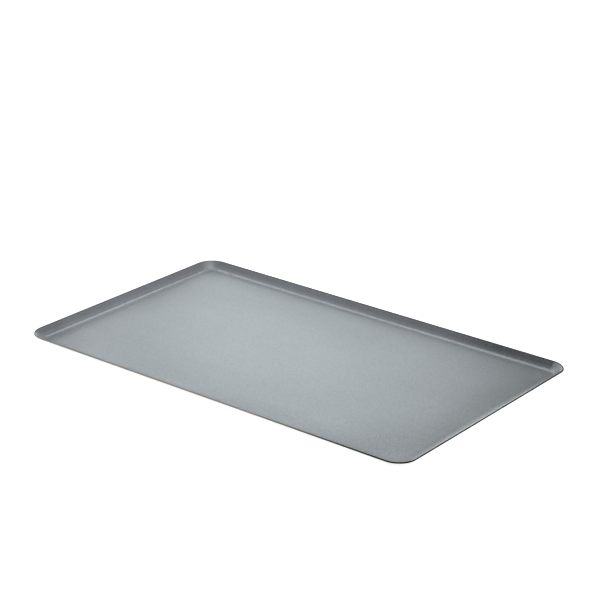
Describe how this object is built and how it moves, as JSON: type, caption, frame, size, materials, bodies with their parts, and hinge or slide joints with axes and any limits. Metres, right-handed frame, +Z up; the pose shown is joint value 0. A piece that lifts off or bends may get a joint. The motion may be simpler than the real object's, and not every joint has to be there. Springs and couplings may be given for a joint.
{
  "type": "baking sheet",
  "caption": "Shallow rectangular baking sheet pressed from sheet steel, with a flat floor, low slanted walls, rounded corners and a plain cut rim.",
  "frame": {"origin": "middle of the floor's underside, where the sheet stands", "axes": "+X along the long side, +Y along the short side, +Z up, out of the open side"},
  "size_m": [0.53, 0.325, 0.01],
  "materials": {
    "blued_steel": "blued mill finish, fine grained and satin"
  },
  "bodies": {
    "root": {"baking_sheet": "blued_steel"}
  },
  "joints": []
}
